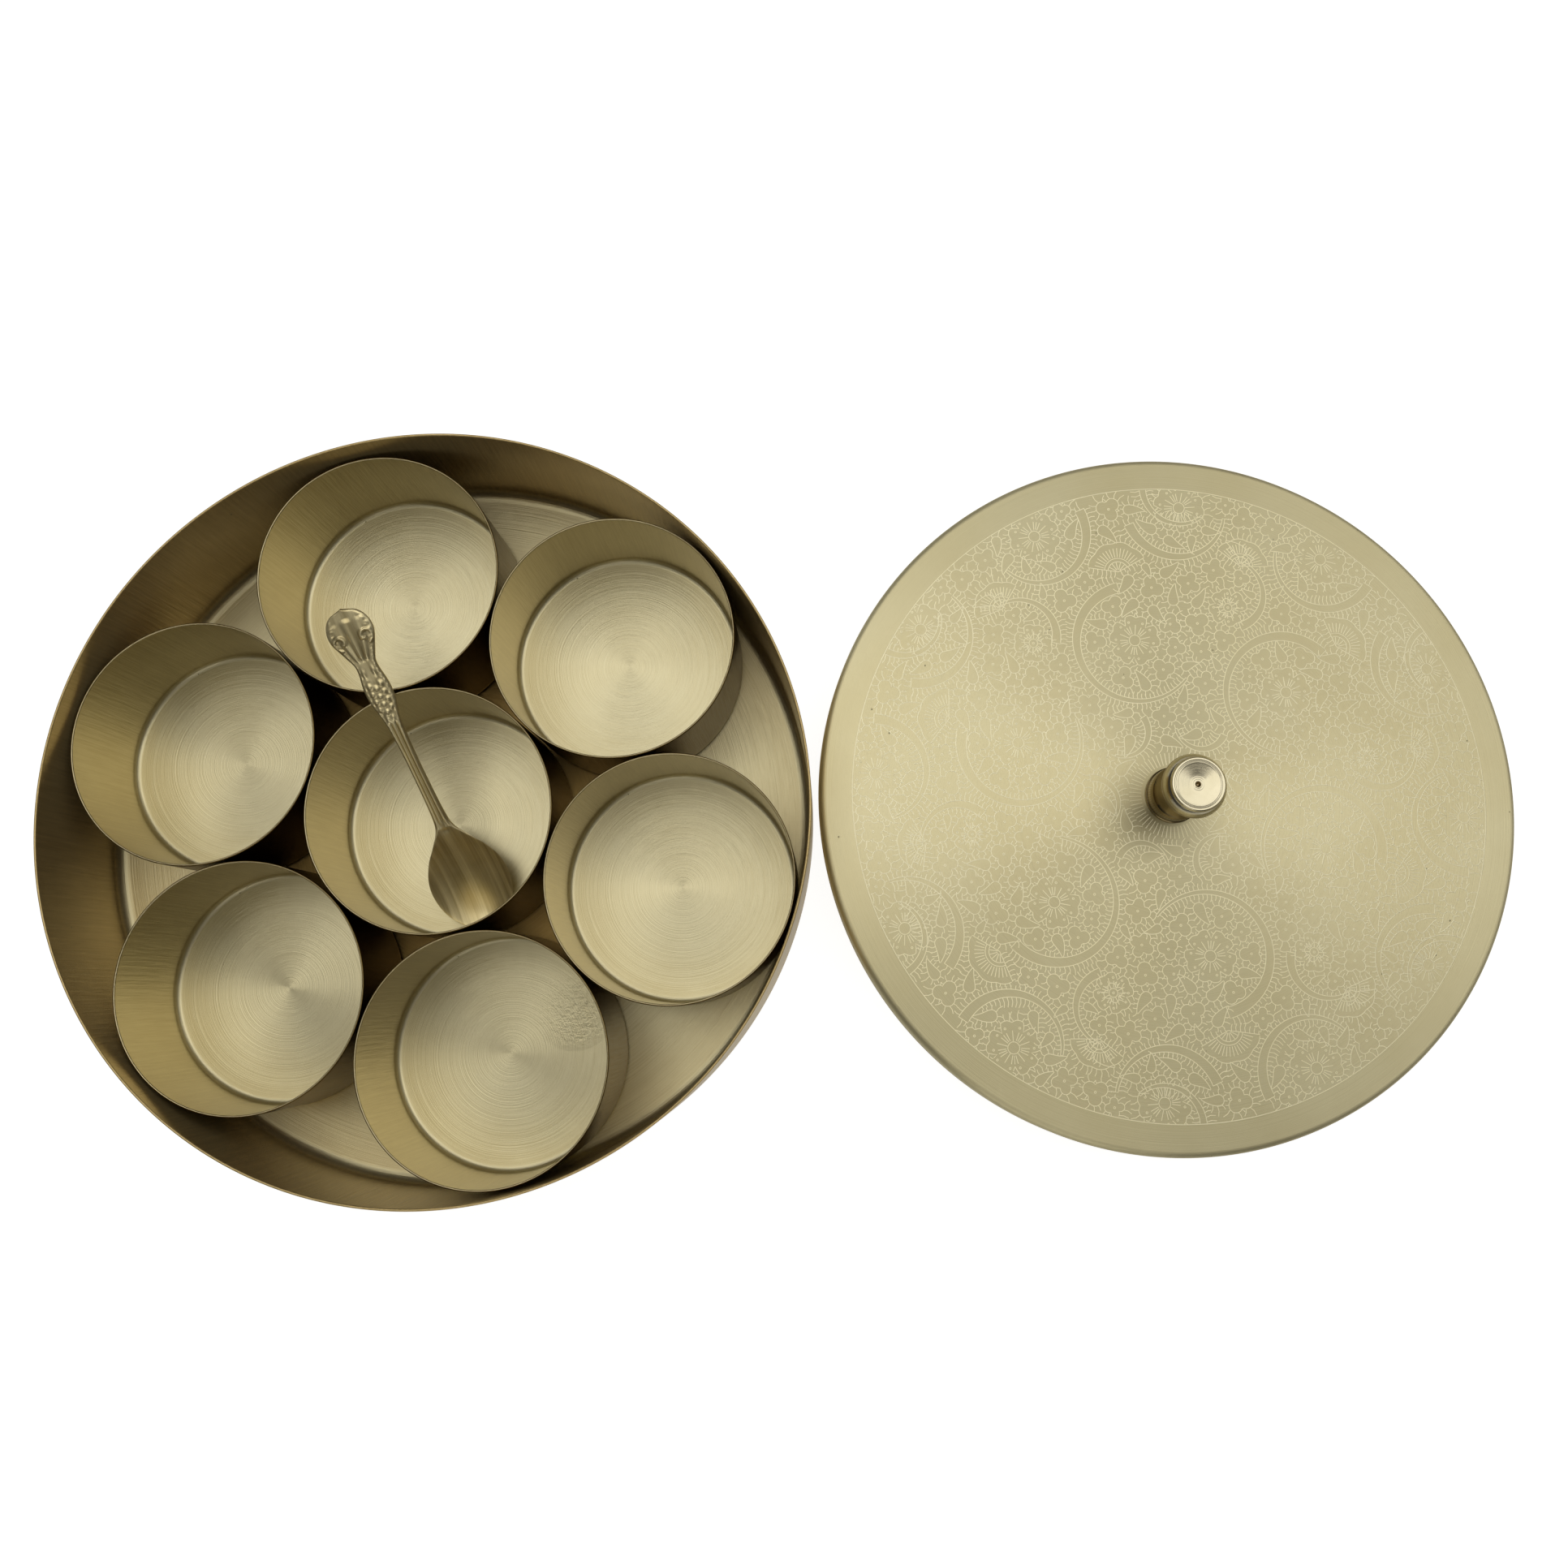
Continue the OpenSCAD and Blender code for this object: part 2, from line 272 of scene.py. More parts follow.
def brass(name, colour, dull_colour, roughness, anisotropy, turning=1.0, streaks=0.0, pits=0.5,
          centre=(0, 0, 0), floor_z=0.0, wall_tone=(1, 1, 1), wall_metal=1.0, outer_radius=9.0,
          outer_tarnish_and_shade=(1, 1, 1), shaded_middle_radius=0.0, painted_shade_tone=(1, 1, 1), rough_patch=(0, 0, 0)):
    """Bare brass. Its tone drifts between colour and dull_colour in slow clouds; fine turning
    marks run round the axis on the floor and upright streaks on the wall; small dark pits are
    scattered over it. The wall is darker by wall_tone and duller by wall_metal, and its outer
    side, past outer_radius, is darker by outer_tarnish_and_shade: partly tarnish, partly painted
    shade for the gaps between neighbours. The floor within shaded_middle_radius is darkened by
    painted_shade_tone as painted shade where the cups stand on it, and that fades out over the
    next fifth. A rough_patch (x, y, size) is left coarse. The grain chart turns the stretched shine."""
    material, add = new_material(name)
    where = add("TexCoord").outputs["Object"]
    local = add("Mapping", Vector=where, Location=[-c for c in centre]).outputs[0]
    spot = add("SeparateXYZ", Vector=local)
    chart = add("SeparateXYZ", Vector=add("UVMap", uv_map="turned").outputs[0])

    def maths(operation, a, b):
        return add("Math", operation=operation, i0=a, i1=b).outputs[0]

    def ramp(value, low, high):
        return add("MapRange", Value=value, From_Min=low, From_Max=high).outputs[0]

    def noise(vector, scale, detail, rough=0.5):
        return add("TexNoise", Vector=vector, Scale=scale, Detail=detail, Roughness=rough).outputs["Fac"]

    clouds = noise(local, 28.0, 3.0)
    marks = add("CombineXYZ", X=maths("MULTIPLY", chart.outputs[0], 260.0),
                Y=maths("MULTIPLY", spot.outputs[0], 14.0), Z=maths("MULTIPLY", spot.outputs[1], 14.0))
    turning_marks = noise(marks.outputs[0], 1.0, 4.0, 0.65)
    upright = add("CombineXYZ", X=maths("MULTIPLY", spot.outputs[0], 1100.0),
                  Y=maths("MULTIPLY", spot.outputs[1], 1100.0), Z=maths("MULTIPLY", spot.outputs[2], 45.0))
    upright_streaks = noise(upright.outputs[0], 1.0, 3.0, 0.6)
    on_wall = ramp(spot.outputs[2], floor_z + 0.0002, floor_z + 0.0030)
    grain = add("Mix", data_type="FLOAT", Factor=maths("MULTIPLY", on_wall, streaks), i2=turning_marks,
                i3=upright_streaks).outputs[0]

    cells = add("TexVoronoi", Vector=local, Scale=170.0, Randomness=1.0)
    rare = ramp(add("SeparateXYZ", Vector=cells.outputs["Color"]).outputs[0], 0.80, 0.83)
    pit = maths("MULTIPLY", maths("SUBTRACT", 1.0, ramp(cells.outputs["Distance"], 0.018, 0.05)), rare)
    pit = maths("MULTIPLY", pit, pits)

    tone = maths("ADD", maths("MULTIPLY", clouds, 0.7), maths("MULTIPLY", grain, 0.9 * turning))
    tone = ramp(tone, 0.35 + 0.25 * turning, 0.65 + 0.45 * turning)
    bare = add("Mix", data_type="RGBA", Factor=tone, i6=(*dull_colour, 1), i7=(*colour, 1))
    walled = add("Mix", data_type="RGBA", blend_type="MULTIPLY", Factor=on_wall, i6=bare.outputs[2],
                 i7=(*wall_tone, 1))
    flat = add("CombineXYZ", X=spot.outputs[0], Y=spot.outputs[1]).outputs[0]
    from_axis = add("VectorMath", operation="LENGTH", i0=flat).outputs["Value"]
    # the outer side of the wall is darkened: partly tarnish, partly painted shade for the dark gaps between
    # neighbouring cups
    outside = maths("MULTIPLY", on_wall, ramp(from_axis, outer_radius - 0.0001, outer_radius + 0.0001))
    outer = add("Mix", data_type="RGBA", blend_type="MULTIPLY", Factor=outside, i6=walled.outputs[2],
                i7=(*outer_tarnish_and_shade, 1))
    # painted shade: the floor under and between the cups is darkened, fading out over the next fifth of the
    # radius
    if shaded_middle_radius:
        in_shaded_middle = ramp(from_axis, shaded_middle_radius * 1.2, shaded_middle_radius)
        in_shaded_middle = maths("MULTIPLY", in_shaded_middle, maths("SUBTRACT", 1.0, on_wall))
        outer = add("Mix", data_type="RGBA", blend_type="MULTIPLY", Factor=in_shaded_middle, i6=outer.outputs[2],
                    i7=(*painted_shade_tone, 1))
    spotted = add("Mix", data_type="RGBA", Factor=pit, i6=outer.outputs[2], i7=(0.05, 0.035, 0.015, 1))

    rough = maths("ADD", roughness - 0.07, maths("MULTIPLY", grain, 0.12))
    rough = maths("ADD", rough, maths("MULTIPLY", clouds, 0.05))
    height = maths("SUBTRACT", maths("MULTIPLY", grain, turning), maths("MULTIPLY", pit, 2.0))
    if rough_patch[2]:
        x, y, size = rough_patch
        away = add("VectorMath", operation="DISTANCE", i0=flat, i1=(x, y, 0)).outputs["Value"]
        coarse = maths("MULTIPLY", noise(local, 700.0, 3.0, 0.7), ramp(away, size, size * 0.3))
        height = maths("ADD", height, maths("MULTIPLY", coarse, 3.0))
    bump = add("Bump", Strength=0.28, Distance=0.0004, Height=height)
    metal = maths("SUBTRACT", 1.0, maths("MULTIPLY", on_wall, 1.0 - wall_metal)) if wall_metal < 1 else 1.0
    shader = add("BsdfPrincipled", Base_Color=spotted.outputs[2], Metallic=metal, Roughness=rough,
                 Anisotropic=anisotropy, Normal=bump.outputs[0],
                 Tangent=add("Tangent", direction_type="UV_MAP", uv_map="grain").outputs[0])
    add("OutputMaterial", Surface=shader.outputs[0])
    return material


def dish_outline(radius, height, corner, sheet, step):
    """The outline of a pressed dish, from the axis under its floor round to the axis on its floor."""
    edge = sheet * 0.48
    return rounded([(0, 0, 0), (radius, 0, corner), (radius, height, edge), (radius - sheet, height, edge),
                    (radius - sheet, sheet, corner - sheet), (0, sheet, 0)], step)


box_low, box_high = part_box("box")
box_radius = (box_high.x - box_low.x) / 2 / MM
box_height = (box_high.z - box_low.z) / MM
sheet, box_corner = 0.8, 4.3
box = turned("spice_box", dish_outline(box_radius, box_height, box_corner, sheet, 3.0),
             Matrix.Identity(4), turns=320, wall_above=sheet + 2)
# the middle of the box floor, under and between the cups, is darkened as painted shade
box.data.materials.append(brass("box_brass", (0.66, 0.59, 0.36), (0.52, 0.45, 0.26), 0.34, 0.6,
                                streaks=1.0, pits=0.9, floor_z=sheet * MM, wall_tone=(1.08, 0.91, 0.66),
                                wall_metal=0.66, shaded_middle_radius=0.070, painted_shade_tone=(0.60, 0.45, 0.25)))
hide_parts("box")
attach(box, "box")


# The seven cups: small dishes pressed from 0.7 mm sheet, each floor faced on a lathe and each
# wall rubbed upright. Six stand in a ring round the seventh, loose in the box.
cup_sheet, cup_corner = 0.7, 2.5
for number, cup_name in enumerate(["centre_cup"] + [f"ring_cup_{i}" for i in range(1, 7)]):
    low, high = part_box(cup_name)
    middle = (low + high) / 2
    outline = dish_outline((high.x - low.x) / 2 / MM, (high.z - low.z) / MM, cup_corner, cup_sheet, 1.6)
    spin = Matrix.Rotation(number * 1.7, 4, "Z")
    place = Matrix.Translation((middle.x, middle.y, low.z)) @ spin
    cup = turned(cup_name + "_pressing", outline, place, turns=192, wall_above=cup_sheet + 1.5)
    rough_patch = (0.021, 0.014, 0.014) if cup_name == "ring_cup_5" else (0, 0, 0)
    # the cups' outer walls are darkened, partly as tarnish and partly as painted shade in the gaps between
    # the cups
    cup.data.materials.append(brass(cup_name + "_brass", (0.69, 0.625, 0.40), (0.56, 0.49, 0.29), 0.33, 0.72,
                                    streaks=1.0, pits=0.7, centre=(middle.x, middle.y, low.z),
                                    floor_z=cup_sheet * MM, wall_tone=(0.93, 0.89, 0.83),
                                    outer_radius=(high.x - low.x) / 2 - cup_sheet * MM / 2,
                                    outer_tarnish_and_shade=(0.27, 0.20, 0.09), rough_patch=rough_patch))
    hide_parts(cup_name)
    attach(cup, cup_name)


# The spoon: cast in brass and filed up, with a plain brushed bowl and a raised pattern on its
# stem and handle. It leans in the centre cup, its tip on the floor and its stem on the rim.
spoon_length, bowl_half, bowl_length, bowl_depth = 114.0, 12.9, 38.0, 5.2
bowl_sheet, stem_thick, end_thick = 0.9, 2.6, 1.9
bowl_crown, stem_crown, relief_depth = 0.1, 0.5, 2.0
spoon_turn, spoon_lean, spoon_aside = math.radians(109.3), math.radians(29.3), 1.5
tip_gap, rim_gap = 1.65, 0.3
outline_at = np.array([0, 1.5, 5, 10, 16, 22, 28, 33, 37, 41, 55, 68, 77, 83, 88, 95.5, 100, 105, 109,
                       112.5, 114])
outline_share = np.array([0, 0.36, 0.67, 0.9, 1, 0.96, 0.76, 0.48, 0.265, 0.18, 0.147, 0.155, 0.2, 0.3, 0.318,
                          0.255, 0.38, 0.535, 0.52, 0.33, 0])


def smooth_through(x, knots, values):
    """A curve through the knots: a cubic between two neighbours, with each knot's slope taken
    from the knots on both sides of it."""
    before, after = np.roll(np.arange(len(knots)), 1), np.roll(np.arange(len(knots)), -1)
    before[0], after[-1] = 0, len(knots) - 1
    slope = (values[after] - values[before]) / (knots[after] - knots[before])
    i = np.clip(np.searchsorted(knots, x) - 1, 0, len(knots) - 2)
    w = knots[i + 1] - knots[i]
    t = (x - knots[i]) / w
    return ((1 + 2 * t) * (1 - t) ** 2 * values[i] + t * (1 - t) ** 2 * w * slope[i]
            + t * t * (3 - 2 * t) * values[i + 1] - t * t * (1 - t) * w * slope[i + 1])


def step_up(x, start, end):
    """0 before start, 1 after end, and a smooth rise between."""
    t = np.clip((x - start) / (end - start), 0, 1)
    return t * t * (3 - 2 * t)


def bump(x, y, at_x, at_y, long, wide):
    """A round hill of height 1 at a point."""
    return np.exp(-((x - at_x) / long) ** 2 - ((y - at_y) / wide) ** 2)


def handle_relief(x, y, s):
    """The raised pattern at x mm from the tip and y mm, or the share s of the half width, from
    the middle: three flutes down the stem, a cluster of beads, roped edges, and at the end a
    plume of ribs between two scrolls."""
    flutes = 0.34 * np.abs(np.cos(1.5 * math.pi * s)) ** 1.5 - 0.10
    height = flutes * step_up(x, 37, 42) * (1 - step_up(x, 74, 79))
    rope = 0.26 * np.exp(-((np.abs(s) - 0.84) / 0.12) ** 2) * (0.72 + 0.28 * np.sin(x * 3.4 + np.sign(s)))
    height += rope * step_up(x, 62, 74) * (1 - step_up(x, 110, 112.5))
    for i in range(4):
        for j in (-1, 0, 1):
            height += 0.42 * bump(x, y, 80.0 + 2.6 * i + 1.2 * (j != 0), j * 1.9, 0.95, 0.85)
    for side in (-1, 1):
        height += 0.34 * bump(x, y, 77.5, side * 0.9, 1.3, 0.6) + 0.3 * bump(x, y, 93.5, side * 1.7, 1.7, 0.7)
        reach = np.hypot(x - 104.5, y - side * 4.0)
        angle = np.arctan2(y - side * 4.0, x - 104.5)
        height += 0.36 * np.exp(-((reach - 1.7 - 0.25 * side * angle) / 0.42) ** 2)
    spread = np.arctan2(y, x - 91.0)
    out = np.hypot(x - 91.0, y)
    plume = 0.34 * np.abs(np.cos(spread * 13)) ** 1.5 * step_up(out, 5.5, 8) * (1 - step_up(out, 18.5, 20.5))
    height += plume * np.exp(-(spread / 0.34) ** 4)
    return height


def spoon_mesh(name, place, rows=380, across=56):
    """The spoon as one closed skin: rows of points go over the top face and back under it, from
    the tip to the end. The top is sunk by the bowl's hollow and raised by the relief."""
    x = spoon_length * (0.5 - 0.5 * np.cos(np.linspace(0.02, math.pi - 0.02, rows)))[:, None]
    half = np.maximum(smooth_through(x, outline_at, outline_share) * bowl_half, 0.12)
    hollow = bowl_depth * np.sin(math.pi * np.clip(x / bowl_length, 0, 1) ** 0.8).clip(0) ** 0.9
    in_stem = step_up(x, bowl_length - 8, bowl_length + 4)
    past = np.clip(x - bowl_length, 0, None) / spoon_length
    thick = bowl_sheet + (stem_thick - bowl_sheet) * in_stem - (stem_thick - end_thick) * past ** 2 * 2
    crown = bowl_crown + (stem_crown - bowl_crown) * step_up(x, bowl_length - 4, bowl_length + 6)
    s = -np.cos(np.linspace(0, math.pi, across + 1))[None, :]
    y = half * s
    round_off = 1 - s ** 2
    top = (crown - hollow) * round_off + handle_relief(x, y, s) * np.sqrt(round_off) * relief_depth
    top -= 0.35 * bump(x, y, 37.5, 0, 1.4, 1.3)
    under = -hollow * round_off - thick * (1 - 0.3 * s ** 2)
    rounding = np.minimum(0.30, thick / 3) * s ** 24
    top = top - rounding
    under = under + rounding
    skin_x = np.repeat(x, 2 * (across + 1), 1)
    skin_y = np.concatenate([y, y[:, ::-1]], 1)
    skin = np.stack([skin_x, skin_y, np.concatenate([top, under[:, ::-1]], 1)], -1)
    n = skin.shape[1]
    points = np.concatenate([skin.reshape(-1, 3), [[0.0, 0, -0.3]], [[spoon_length, 0, -0.6]]])
    row = np.arange(rows - 1)[:, None]
    k = np.arange(n)[None, :]
    nxt = (k + 1) % n
    quads = np.stack([row * n + k, (row + 1) * n + k, (row + 1) * n + nxt, row * n + nxt], -1).reshape(-1, 4)
    ring = np.arange(n)
    last = (rows - 1) * n
    tip = np.full(n, rows * n)
    ends = [np.stack([tip, ring, (ring + 1) % n], -1),
            np.stack([tip + 1, last + (ring + 1) % n, last + ring], -1)]
    return mesh_piece(name, points * MM, [quads] + ends, {}, place)


cup_low, cup_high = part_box("centre_cup")
cup_radius = (cup_high.x - cup_low.x) / 2 / MM
tip_z = cup_low.z / MM + cup_sheet + tip_gap
rim_z = cup_high.z / MM + rim_gap
contact = (rim_z - tip_z + stem_thick * math.cos(spoon_lean)) / math.sin(spoon_lean)
tip_along = cup_radius - contact * math.cos(spoon_lean) - stem_thick * math.sin(spoon_lean)
tip_place = Matrix.Translation((tip_along * MM, spoon_aside * MM, tip_z * MM))
spoon_place = Matrix.Rotation(spoon_turn, 4, "Z") @ tip_place @ Matrix.Rotation(-spoon_lean, 4, "Y")
spoon = spoon_mesh("cast_spoon", spoon_place)
cast, add = new_material("spoon_brass")
turned_back = add("Mapping", vector_type="POINT", Vector=add("TexCoord").outputs["Object"],
                  Rotation=(0, 0, -spoon_turn)).outputs[0]
leaned_back = add("Mapping", vector_type="POINT", Vector=turned_back, Rotation=(0, spoon_lean, 0)).outputs[0]
along = add("Mapping", vector_type="POINT", Vector=leaned_back, Scale=(9.0, 560.0, 30.0)).outputs[0]
brushing = add("TexNoise", Vector=along, Scale=1.0, Detail=4.0, Roughness=0.6)
cloud = add("TexNoise", Vector=leaned_back, Scale=140.0, Detail=4.0)
spread = add("Math", operation="MULTIPLY", i0=cloud.outputs["Fac"], i1=0.35)
blend = add("Math", operation="MULTIPLY_ADD", i0=brushing.outputs["Fac"], i1=1.5, i2=spread.outputs[0])
level = add("MapRange", Value=blend.outputs[0], From_Min=0.60, From_Max=1.32)
tone = add("Mix", data_type="RGBA", Factor=level.outputs[0], i6=(0.47, 0.37, 0.17, 1),
           i7=(0.99, 0.86, 0.50, 1))
# painted shade: the hollows of the relief, found by pointiness, are darkened towards dark brown
low_ground = add("NewGeometry").outputs["Pointiness"]
painted_recess_shade = add("MapRange", Value=low_ground, From_Min=0.445, From_Max=0.505)
shaded = add("Mix", data_type="RGBA", Factor=painted_recess_shade.outputs[0], i6=(0.20, 0.145, 0.055, 1), i7=tone.outputs[2])
gloss = add("MapRange", Value=brushing.outputs["Fac"], From_Min=0.3, From_Max=0.7, To_Min=0.28, To_Max=0.42)
dents = add("Bump", Strength=0.15, Distance=0.0003, Height=brushing.outputs["Fac"])
shader = add("BsdfPrincipled", Base_Color=shaded.outputs[2], Metallic=0.8, Roughness=gloss.outputs[0],
             Normal=dents.outputs[0])
add("OutputMaterial", Surface=shader.outputs[0])
spoon.data.materials.append(cast)
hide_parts("spoon")
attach(spoon, "spoon")


# The lid: a flat disc of sheet with its edge turned down, faced on a lathe to a satin finish.
# It lies face up beside the box, tilted on its far edge and on the end of its knob's stud.
lid_low, lid_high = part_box("lid")
lid_radius = (lid_high.y - lid_low.y) / 2 / MM
lid_tilt = math.radians(4.5)
lid_height = 8.0
lid_corner = 2.0
stud_hole = 3.1
lid_centre = (lid_low.x + lid_radius * MM * math.cos(lid_tilt), 0, lid_radius * MM * math.sin(lid_tilt))
on_lid = Matrix.Translation(lid_centre) @ Matrix.Rotation(lid_tilt, 4, "Y")
lid_edge = sheet * 0.48
plate = lid_height - sheet
lid_outline = rounded([(stud_hole, plate, 0), (lid_radius - sheet, plate, lid_corner - sheet),
                       (lid_radius - sheet, 0, lid_edge), (lid_radius, 0, lid_edge),
                       (lid_radius, lid_height, lid_corner), (stud_hole, lid_height, 0)], 3.0)
lid = turned("etched_lid", lid_outline, on_lid, turns=320, closed=True)
lid.data.materials.append(brass("lid_brass", (0.665, 0.60, 0.37), (0.575, 0.505, 0.29), 0.38, 0.86,
                                turning=0.5, pits=0.6, centre=lid_centre))
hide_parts("lid")
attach(lid, "lid")


# The etching on the lid: a field of scrolls, flowers, fans and small leaves cut into the brass,
# the same in each sixth of the disc, with rows of short hatch strokes between the motifs.
FIELD_RADIUS = 102.8
FIELD_INNER = 14.2
SIXTH = math.pi / 3
first_scroll = math.radians(39.5)


def closed_curve(radius_at, size, points=30):
    """A closed line round the origin: at angle t it lies at size times radius_at(t)."""
    t = np.linspace(0, 2 * math.pi, points)
    r = size * radius_at(t)
    return np.stack([r * np.cos(t), r * np.sin(t)], -1)


def petals(count):
    """Radius of a flower with heart-shaped petals: a dent in each petal and a notch between two."""
    def radius_at(t):
        share = (count * t / (2 * math.pi)) % 1 - 0.5
        return 1 - 0.09 * np.exp(-(share / 0.09) ** 2) - 0.34 * np.exp(-((np.abs(share) - 0.5) / 0.09) ** 2)
    return radius_at


def lobes(count):
    """Radius of a leaf with round lobes."""
    return lambda t: 0.50 + 0.50 * np.abs(np.cos(count * t / 2)) ** 0.75


def curl(size, bend=0.10, points=24):
    """A comma-shaped leaf: a circle drawn out into a tail that bends aside."""
    t = np.linspace(-math.pi, math.pi, points)
    pull = ((1 + np.cos(t)) / 2) ** 3
    x = size * (np.cos(t) + 1.7 * pull)
    y = size * np.sin(t) * (1 - 0.5 * ((1 + np.cos(t)) / 2) ** 2)
    return np.stack([x, y + bend * np.sign(x) * x * x / size * (x > 0)], -1)


def moved(line, x, y, turn=0.0):
    """A line turned about the origin and then carried to x, y."""
    c, s = math.cos(turn), math.sin(turn)
    return line @ np.array([[c, s], [-s, c]]) + (x, y)


def flower(size, count, x, y, turn):
    """A flower: its outline, three stamens and two dots in each petal, and its eye."""
    step = 2 * math.pi / count
    petal = (np.arange(count)[:, None] + np.zeros(3)) * step
    stamen = (petal + np.array([-0.17, 0, 0.17]) * step).ravel()
    lines = [closed_curve(petals(count), size, 14 * count + 1), closed_curve(np.ones_like, size * 0.22, 14)]
    for a in stamen:
        ends = size * np.array([[0.27], [0.58]])
        lines.append(ends * (math.cos(a), math.sin(a)))
    for a in np.arange(count) * step + step / 2:
        lines.append(size * np.array([[0.24], [0.62]]) * (math.cos(a), math.sin(a)))
    for a in (petal[:, :2] + np.array([-0.2, 0.2]) * step).ravel():
        dot = closed_curve(np.ones_like, 0.32, 7)
        lines.append(dot + size * 0.74 * np.array([math.cos(a), math.sin(a)]))
    return [moved(line, x, y, turn) for line in lines]


def band(path, wide_start, wide_end):
    """The two sides of a stem that follows a path and tapers."""
    along = np.gradient(path, axis=0)
    along /= np.linalg.norm(along, axis=1)[:, None]
    side = np.stack([-along[:, 1], along[:, 0]], -1)
    half = np.linspace(wide_start, wide_end, len(path))[:, None] / 2
    return [np.concatenate([path + side * half, (path - side * half)[::-1], (path + side * half)[:1]])]


def fan(size, x, y, turn):
    """A half-open fan: a scalloped rim, fine rays, and a banded hub."""
    spread = np.linspace(-1.25, 1.25, 34)
    rim = size * (1 + 0.06 * np.abs(np.sin(spread * 4.4)))
    rim_line = np.stack([rim * np.cos(spread), rim * np.sin(spread)], -1)
    lines = [np.concatenate([[[0, 0]], rim_line, [[0, 0]]])]
    for share in (0.36, 0.48):
        lines.append(size * share * np.stack([np.cos(spread[::3]), np.sin(spread[::3])], -1))
    for a in np.linspace(-1.12, 1.12, 15):
        lines.append(size * np.array([[0.52], [0.84]]) * (math.cos(a), math.sin(a)))
    for a in np.linspace(-0.9, 0.9, 5):
        lines.append(size * np.array([[0.08], [0.34]]) * (math.cos(a), math.sin(a)))
    return [moved(line, x, y, turn) for line in lines]


def at(radius, turn):
    """The point at a radius and an angle in degrees from the middle of a sixth."""
    return radius * math.cos(math.radians(turn)), radius * math.sin(math.radians(turn))


def scroll(x, y, radius, start, end, wide_start, wide_end, tighten):
    """A stem that winds round x, y from one angle to another, in degrees, and closes in by the
    share tighten."""
    turn = np.radians(np.linspace(start, end, 40))
    r = radius * (1 - tighten * (turn - turn[0]) / (turn[-1] - turn[0]))
    return band(np.stack([x + r * np.cos(turn), y + r * np.sin(turn)], -1), wide_start, wide_end)


# each motif is a list of lines whose first line is its outline
scroll_x = 52.0
leaf_dot = closed_curve(np.ones_like, 0.34, 7)
leaf_reach = 13.2
motifs = [flower(8.4, 5, scroll_x, 0, 0.35)]
for turn in np.radians([20, 82, 150, 212, 284]):
    x, y = scroll_x + leaf_reach * math.cos(turn), leaf_reach * math.sin(turn)
    motifs.append([moved(closed_curve(lobes(3), 3.9), x, y, turn + math.pi), moved(leaf_dot, x, y)])
motifs += [
    flower(6.4, 4, *at(66, 30), math.radians(30)),
    fan(9.6, *at(75.5, 0), 0.0),
    fan(8.8, *at(81, 30), math.radians(30)),
    flower(8.6, 5, *at(95.5, 15), 0.9),
    flower(8.6, 5, *at(96.5, -15), 0.2),
    scroll(scroll_x, 0, 20.8, 222, 4, 0.8, 3.6, 0.12),
    scroll(*at(95.5, 15), 17.8, 290, 130, 3.4, 0.8, 0.15),
    scroll(*at(96.5, -15), 18.0, 98, 246, 3.4, 0.8, 0.15),
    scroll(*at(70, 31), 12.6, 22, -112, 0.8, 3.0, 0.12),
    scroll(*at(26, 24), 8.8, 150, 292, 0.8, 2.4, 0.1),
    scroll(*at(103, 45), 12.5, 118, 268, 2.4, 0.9, 0.06)]


def six_times(lines):
    """The lines repeated in all six sixths of the disc, as one list."""
    out = []
    for k in range(6):
        out += [moved(line, 0, 0, first_scroll + k * SIXTH) for line in lines]
    return out


def nearest(points, others, block=4000):
    """Distance from each point to the nearest of the others, worked out block by block."""
    found = np.empty(len(points), np.float32)
    o = others.astype(np.float32)
    for i in range(0, len(points), block):
        p = points[i:i + block].astype(np.float32)
        square = (p ** 2).sum(1)[:, None] + (o ** 2).sum(1)[None] - 2 * p @ o.T
        found[i:i + block] = np.sqrt(np.maximum(square.min(1), 0))
    return found


def filled(line, gap=0.45):
    """Points along a line no farther apart than the gap."""
    step = np.linalg.norm(np.diff(line, axis=0), axis=1)
    pieces = [a + (b - a) * np.linspace(0, 1, max(int(s / gap), 1), endpoint=False)[:, None]
              for a, b, s in zip(line[:-1], line[1:], step)]
    return np.concatenate(pieces + [line[-1:]])


# small leaves go one by one into the widest space that is left, until no space is wide; a space
# inside a closed motif doesn't count
grid_r, grid_a = np.meshgrid(np.arange(16, 102, 1.0), np.radians(np.arange(-30, 30, 1.0)), indexing="ij")
spaces = np.stack([(grid_r * np.cos(grid_a)).ravel(), (grid_r * np.sin(grid_a)).ravel()], -1)
near = np.concatenate([filled(moved(m[0], 0, 0, k * SIXTH)) for m in motifs for k in (-1, 0, 1)])
room = nearest(spaces, near)
inside = np.zeros(len(spaces), bool)
for m in motifs:
    if np.linalg.norm(m[0][0] - m[0][-1]) < 0.1:
        a, b = m[0][:-1], m[0][1:]
        y = spaces[:, 1:2]
        crosses = (a[:, 1] > y) != (b[:, 1] > y)
        rise = np.where(b[:, 1] == a[:, 1], 1, b[:, 1] - a[:, 1])
        x_at = a[:, 0] + (y - a[:, 1]) * (b[:, 0] - a[:, 0]) / rise
        inside |= (np.sum(crosses & (spaces[:, :1] < x_at), 1) % 2).astype(bool)
room[inside] = 0
room = np.minimum(room, np.minimum(grid_r.ravel() - FIELD_INNER, FIELD_RADIUS + 1.5 - grid_r.ravel()))
narrowest_space, lobed_space = 2.9, 4.1
leaf_count = 0
